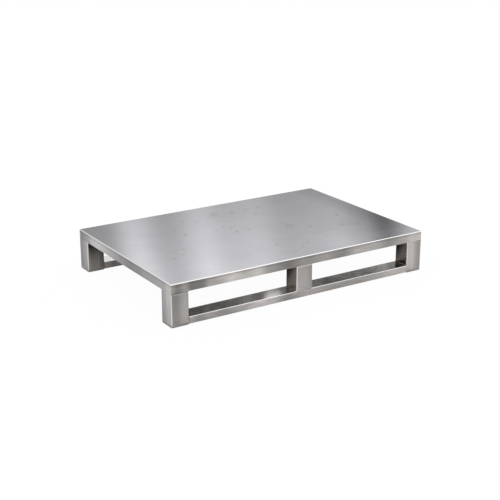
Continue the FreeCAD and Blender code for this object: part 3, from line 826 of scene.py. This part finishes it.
sheet_steel = brushed_steel("no4_brushed_sheet", SHEET_TONES_PAINTED_LIGHT, OVER_THE_FOLDS, roughness=0.15,
                            anisotropy=1.0, bands=(APRON_REFLECTIONS_LENGTHWISE, APRON_REFLECTIONS_CROSSWISE, 1.0),
                            highlight_share=0.75, contrast=0.24,
                            extras=[deck_painted_reflection, deck_marks, fold_shade_line])
leg_steel = brushed_steel("satin_tube_upright", LEG_TONES, UPRIGHT, roughness=0.24, anisotropy=0.7,
                          bands=(LEG_REFLECTIONS_LENGTHWISE, LEG_REFLECTIONS_CROSSWISE, 0.6), highlight_share=0.6, contrast=0.13,
                          extras=[leg_painted_shade_and_light, leg_seams])
rail_steel = brushed_steel("satin_tube_lengthwise", RAIL_TONES_PAINTED_TOP, LENGTHWISE, roughness=0.22,
                           anisotropy=0.7, bands=(RAIL_REFLECTIONS_LENGTHWISE, LEG_REFLECTIONS_CROSSWISE, 0.6),
                           highlight_share=0.42, contrast=0.24, extras=[rail_top_painted_shade], scuffs=rail_scuffs)
foot_steel = brushed_steel("dressed_plate", FOOT_TONES, ROUND_THE_EDGE, roughness=0.3, anisotropy=0.4,
                           highlight_share=0.2, contrast=0.15)
beam_steel = brushed_steel("folded_beam_lengthwise", HIDDEN_TONES, LENGTHWISE, roughness=0.3,
                           anisotropy=0.5)
rib_steel = brushed_steel("folded_rib_crosswise", HIDDEN_TONES, CROSSWISE, roughness=0.3,
                          anisotropy=0.5)

FINISHES = {
    "deck_tray": sheet_steel, "leg": leg_steel, "bottom_rail": rail_steel, "foot_plate": foot_steel,
    "top_beam": beam_steel, "end_beam": rib_steel, "cross_rib": rib_steel,
}
for name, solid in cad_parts.items():
    finish = next(steel for start, steel in FINISHES.items() if name.startswith(start))
    for slot in solid.material_slots:
        slot.material = finish
print("solids with a finish:", len(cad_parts))

# %% [markdown]
# ## Weld beads
#
# Inside corners can't be ground, so their welds keep the ripple that a hand-held torch leaves: one
# scallop for each dip of the filler rod. A bead could be a sculpted strip, but one scallop repeated
# by an Array modifier is quicker and just as true. A cylinder is the start. It is cut round its
# middle and its two ends are drawn in, so that it swells between them. The copies are merged end to
# end, and the row is drawn down to a rounded tip at both ends. The bead then lies along the corner,
# half sunk in the steel. The corners come from the solids' boxes.

# %% One bead
RIPPLE_MM = 4.0
BEAD_SIDES = 12
RIPPLE_DEPTH = 0.90
FEWEST_RIPPLES = 3
MERGE_SHARE = 0.02
TIP_LENGTH, TIP_WIDTH = 0.45, 0.55
SMOOTH_UP_TO_DEG = 50
SAME_HEIGHT = 1e-5


def ring_at(mesh, height):
    """Selects the ring of points at one height."""
    for point in mesh.vertices:
        point.select = abs(point.co.z - height) < SAME_HEIGHT


def bead(start, end, radius):
    """A rippled weld bead from start to end."""
    start, run = Vector(start), Vector(end) - Vector(start)
    count = max(FEWEST_RIPPLES, round(run.length * 1000 / RIPPLE_MM))
    step = run.length / count
    bpy.ops.object.select_all(action="DESELECT")
    bpy.ops.mesh.primitive_cylinder_add(vertices=BEAD_SIDES, radius=radius, depth=step,
                                        end_fill_type="NOTHING")
    piece = bpy.context.object
    bpy.ops.object.mode_set(mode="EDIT")
    bpy.ops.mesh.select_all(action="SELECT")
    bpy.ops.mesh.bisect(plane_co=(0, 0, 0), plane_no=(0, 0, 1))
    bpy.ops.mesh.select_mode(type="VERT")
    bpy.ops.mesh.select_all(action="DESELECT")
    bpy.ops.object.mode_set(mode="OBJECT")
    for height in (step / 2, -step / 2):
        ring_at(piece.data, height)
        bpy.ops.object.mode_set(mode="EDIT")
        bpy.ops.transform.resize(value=(RIPPLE_DEPTH, RIPPLE_DEPTH, 1), center_override=(0, 0, height))
        bpy.ops.mesh.select_all(action="DESELECT")
        bpy.ops.object.mode_set(mode="OBJECT")
    repeat = piece.modifiers.new("ripples", "ARRAY")
    repeat.count = count
    repeat.use_relative_offset = False
    repeat.use_constant_offset = True
    repeat.constant_offset_displace = (0, 0, step)
    repeat.use_merge_vertices = True
    repeat.merge_threshold = step * MERGE_SHARE
    bpy.ops.object.modifier_apply(modifier=repeat.name)
    for height, outward in ((-step / 2, -1), (run.length - step / 2, 1)):
        ring_at(piece.data, height)
        bpy.ops.object.mode_set(mode="EDIT")
        tip = (0, 0, outward * radius * TIP_LENGTH)
        bpy.ops.mesh.extrude_region_move(TRANSFORM_OT_translate={"value": tip})
        bpy.ops.transform.resize(value=(TIP_WIDTH, TIP_WIDTH, 1), center_override=(0, 0, height))
        bpy.ops.mesh.edge_face_add()
        bpy.ops.mesh.select_all(action="DESELECT")
        bpy.ops.object.mode_set(mode="OBJECT")
    piece.rotation_mode = "QUATERNION"
    piece.rotation_quaternion = run.to_track_quat("Z", "Y")
    piece.location = start + run.normalized() * step / 2
    bpy.ops.object.transform_apply(location=True, rotation=True, scale=True)
    bpy.ops.object.shade_smooth_by_angle(angle=radians(SMOOTH_UP_TO_DEG))
    return piece


def weld_group(name, beads):
    """Joins beads into one named piece, which rides on the pallet."""
    bpy.ops.object.select_all(action="DESELECT")
    for piece in beads:
        piece.select_set(True)
    bpy.context.view_layer.objects.active = beads[0]
    bpy.ops.object.join()
    group = bpy.context.object
    group.name = name
    bpy.ops.object.mode_set(mode="EDIT")
    bpy.ops.mesh.select_all(action="SELECT")
    bpy.ops.mesh.normals_make_consistent(inside=False)
    bpy.ops.object.mode_set(mode="OBJECT")
    group.data.materials.clear()
    group.data.materials.append(weld_steel)
    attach(group, "root")
    print(name, "beads:", len(beads), "faces:", len(group.data.polygons))


# %% [markdown]
# ## The colour of a weld
#
# A TIG bead on stainless is bright and smooth, with a straw to brown tint where the gas let a
# little air in. The tint comes in patches, and the ripple itself is real shape, so the material has
# no bump for it.

# %% Weld metal
BRIGHT_BEAD, STRAW_BEAD = "C2BCB5", "A3927E"
SMOOTH_BEAD, ROUGH_BEAD = 0.42, 0.55
PATCHES_PER_METRE = 45.0
STRAW_STARTS, STRAW_FULL = 0.45, 0.65
ROUGH_STARTS, ROUGH_FULL = 0.4, 0.6

weld_steel = bpy.data.materials.new("tig_weld_bead")
weld_steel.use_nodes = True
tree = weld_steel.node_tree
tree.nodes.clear()
place = add(tree, "ShaderNodeTexCoord").outputs["Object"]
patches = add(tree, "ShaderNodeTexNoise", {"Vector": place, "Scale": PATCHES_PER_METRE, "Detail": 3.0})
tint = add(tree, "ShaderNodeMapRange", {
    "Value": patches, "From Min": STRAW_STARTS, "From Max": STRAW_FULL})
metal = add(tree, "ShaderNodeMix", {
    0: tint, 6: linear(BRIGHT_BEAD), 7: linear(STRAW_BEAD)}, data_type="RGBA")
rough = add(tree, "ShaderNodeMapRange", {
    "Value": patches, "From Min": ROUGH_STARTS, "From Max": ROUGH_FULL, "To Min": SMOOTH_BEAD,
    "To Max": ROUGH_BEAD})
shader = add(tree, "ShaderNodeBsdfPrincipled", {
    "Base Color": metal, "Metallic": 1.0, "Roughness": rough})
add(tree, "ShaderNodeOutputMaterial", {"Surface": shader})
print("weld metal nodes:", len(tree.nodes))

# %% [markdown]
# ## Welds of the runners
#
# Each rail meets the corner legs with a bead across its top, and the middle leg has one on either
# side. The tubes' rounded edges leave small grooves on the flush faces: under the middle leg, and
# up the ends of the rail. They are filled by thinner beads that stay just inside the faces. The
# legs' tops have beads against the beams over them.

# %% Runner welds
CORNER_BEAD = 0.0023
FILL_BEAD = 0.0019
FILL_INSET = FILL_BEAD + 0.0001
RAIL_END_GAP = 0.0022
EDGE_CLEAR = 0.006

for side in ("front", "rear"):
    rail_low, rail_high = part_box("bottom_rail_" + side)
    middle_low, middle_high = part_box(f"leg_{side}_middle")
    across = (rail_low.y + EDGE_CLEAR, rail_high.y - EDGE_CLEAR)
    beads = []
    for x in (rail_low.x, middle_low.x, middle_high.x, rail_high.x):
        beads.append(bead((x, across[0], rail_high.z), (x, across[1], rail_high.z), CORNER_BEAD))
        beads.append(bead((x, across[0], middle_high.z), (x, across[1], middle_high.z), CORNER_BEAD))
    for y in (rail_low.y + FILL_INSET, rail_high.y - FILL_INSET):
        height = rail_high.z - FILL_INSET
        left, right = middle_low.x + FILL_INSET, middle_high.x - FILL_INSET
        beads.append(bead((left, y, height), (right, y, height), FILL_BEAD))
        for x in (rail_low.x - RAIL_END_GAP, rail_high.x + RAIL_END_GAP):
            beads.append(bead((x, y, rail_low.z + FILL_INSET), (x, y, rail_high.z), FILL_BEAD))
    weld_group(f"welds_{side}_runner", beads)

# %% [markdown]
# ## Welds under the deck
#
# Long welds would pull a thin sheet out of flat, so the ribs are stitched to it: short beads along
# both flanges, with gaps between them. A bead under each crown's end ties the rib to the beam, and
# stitches close the slot between the beams and the aprons.

# %% Stitch welds
STITCH_LENGTH = 0.025
STITCH_BEAD = 0.0022
STITCHES = 5
SLOT_BEAD = 0.0014
SLOT_STITCHES = (0.15, 0.38, 0.62, 0.85)
BEAD_OFFSET = 0.001
FLANGE_CLEAR = 0.018
RIBS = sum(name.startswith("cross_rib_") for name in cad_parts)
STITCH_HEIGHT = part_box("top_beam_front")[1][2] - BEAD_OFFSET

beads = []
for number in range(1, RIBS + 1):
    low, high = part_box(f"cross_rib_{number}")
    for y in (low.y, high.y):
        under = y + (BEAD_OFFSET if y < 0 else -BEAD_OFFSET)
        beads.append(bead((low.x + FLANGE_CLEAR, under, low.z), (high.x - FLANGE_CLEAR, under, low.z),
                          STITCH_BEAD))
    for x in (low.x, high.x):
        for stitch in range(STITCHES):
            middle = low.y + (stitch + 0.5) * (high.y - low.y) / STITCHES
            beads.append(bead((x, middle - STITCH_LENGTH / 2, STITCH_HEIGHT),
                              (x, middle + STITCH_LENGTH / 2, STITCH_HEIGHT), STITCH_BEAD))
weld_group("welds_ribs", beads)

beads = []
for side, outward in (("front", -1), ("rear", 1)):
    low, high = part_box("top_beam_" + side)
    slot = (low.y if outward < 0 else high.y) + outward * BEAD_OFFSET
    height = low.z + BEAD_OFFSET
    leg_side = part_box(f"leg_{side}_middle")[1].x
    gap_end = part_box(f"leg_{side}_right")[0].x
    for sign in (-1, 1):
        for share in SLOT_STITCHES:
            middle = sign * (leg_side + share * (gap_end - leg_side))
            beads.append(bead((middle - STITCH_LENGTH / 2, slot, height),
                              (middle + STITCH_LENGTH / 2, slot, height), SLOT_BEAD))
weld_group("welds_beams", beads)
